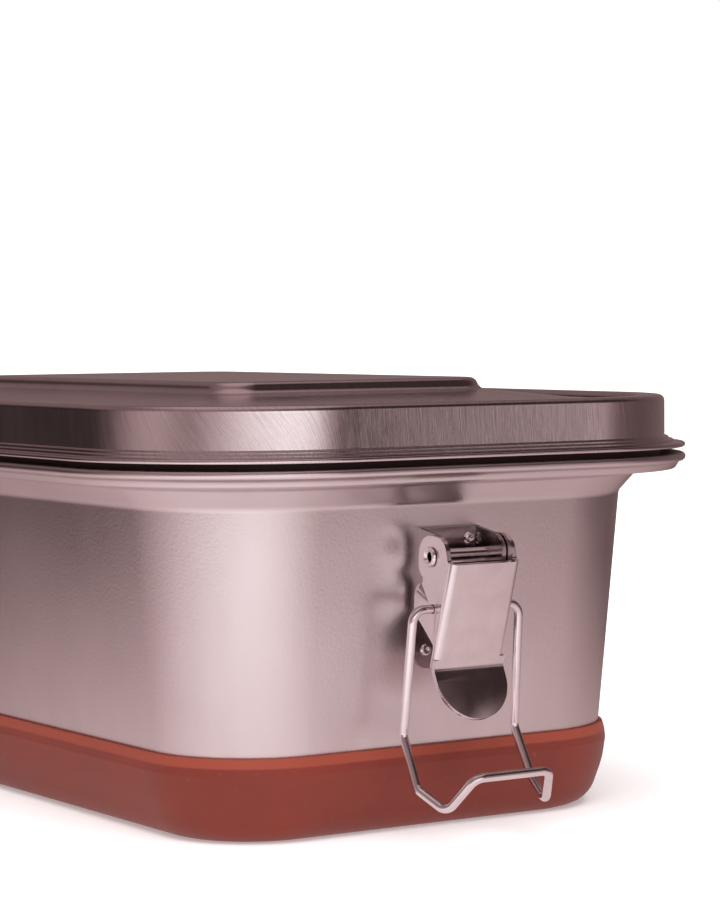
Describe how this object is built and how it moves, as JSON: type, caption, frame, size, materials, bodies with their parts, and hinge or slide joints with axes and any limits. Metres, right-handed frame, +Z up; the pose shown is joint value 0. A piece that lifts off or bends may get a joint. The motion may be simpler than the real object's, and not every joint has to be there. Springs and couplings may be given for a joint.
{
  "type": "lunch box",
  "caption": "Rectangular drawn-steel lunch box with a silicone base sleeve, a lift-off lid with a seal, and a wire-bail toggle latch on each short side.",
  "frame": {"origin": "centre of the footprint, on the surface it stands on", "axes": "+X along the box towards one latch, +Y across it, +Z up"},
  "size_m": [0.185, 0.1194, 0.0757],
  "materials": {
    "satin_steel": "satin",
    "lid_steel": "brushed",
    "latch_steel": "satin",
    "polished_steel": "polished",
    "terracotta_silicone": "matte silicone",
    "seal_silicone": "matte silicone"
  },
  "bodies": {
    "box": {"box_body": "satin_steel", "base_sleeve": "terracotta_silicone", "latch_plate_right": "latch_steel", "plate_studs_right": "latch_steel", "pivot_rivet_right": "polished_steel", "latch_plate_left": "latch_steel", "plate_studs_left": "latch_steel", "pivot_rivet_left": "polished_steel"},
    "lid": {"lid_shell": "lid_steel", "lid_seal": "seal_silicone"},
    "lever_right": {"lever_right": "latch_steel"},
    "bail_right": {"bail_right": "polished_steel"},
    "lever_left": {"lever_left": "latch_steel"},
    "bail_left": {"bail_left": "polished_steel"}
  },
  "joints": [
    {"name": "lid_lift", "type": "slide", "parent": "box", "child": "lid", "axis": [0, 0, 1], "range_m": [0, 0.12]},
    {"name": "lever_right_hinge", "type": "hinge", "parent": "box", "child": "lever_right", "pos_m": [0.07878, 0, 0.047], "axis": [0, -1, 0], "range_deg": [0, 120]},
    {"name": "bail_right_swing", "type": "hinge", "parent": "lever_right", "child": "bail_right", "pos_m": [0.07899, 0, 0.03839], "axis": [0, 1, 0], "range_deg": [-142, 0]},
    {"name": "lever_left_hinge", "type": "hinge", "parent": "box", "child": "lever_left", "pos_m": [-0.07878, 0, 0.047], "axis": [0, 1, 0], "range_deg": [0, 120]},
    {"name": "bail_left_swing", "type": "hinge", "parent": "lever_left", "child": "bail_left", "pos_m": [-0.07899, 0, 0.03839], "axis": [0, -1, 0], "range_deg": [-142, 0]}
  ]
}
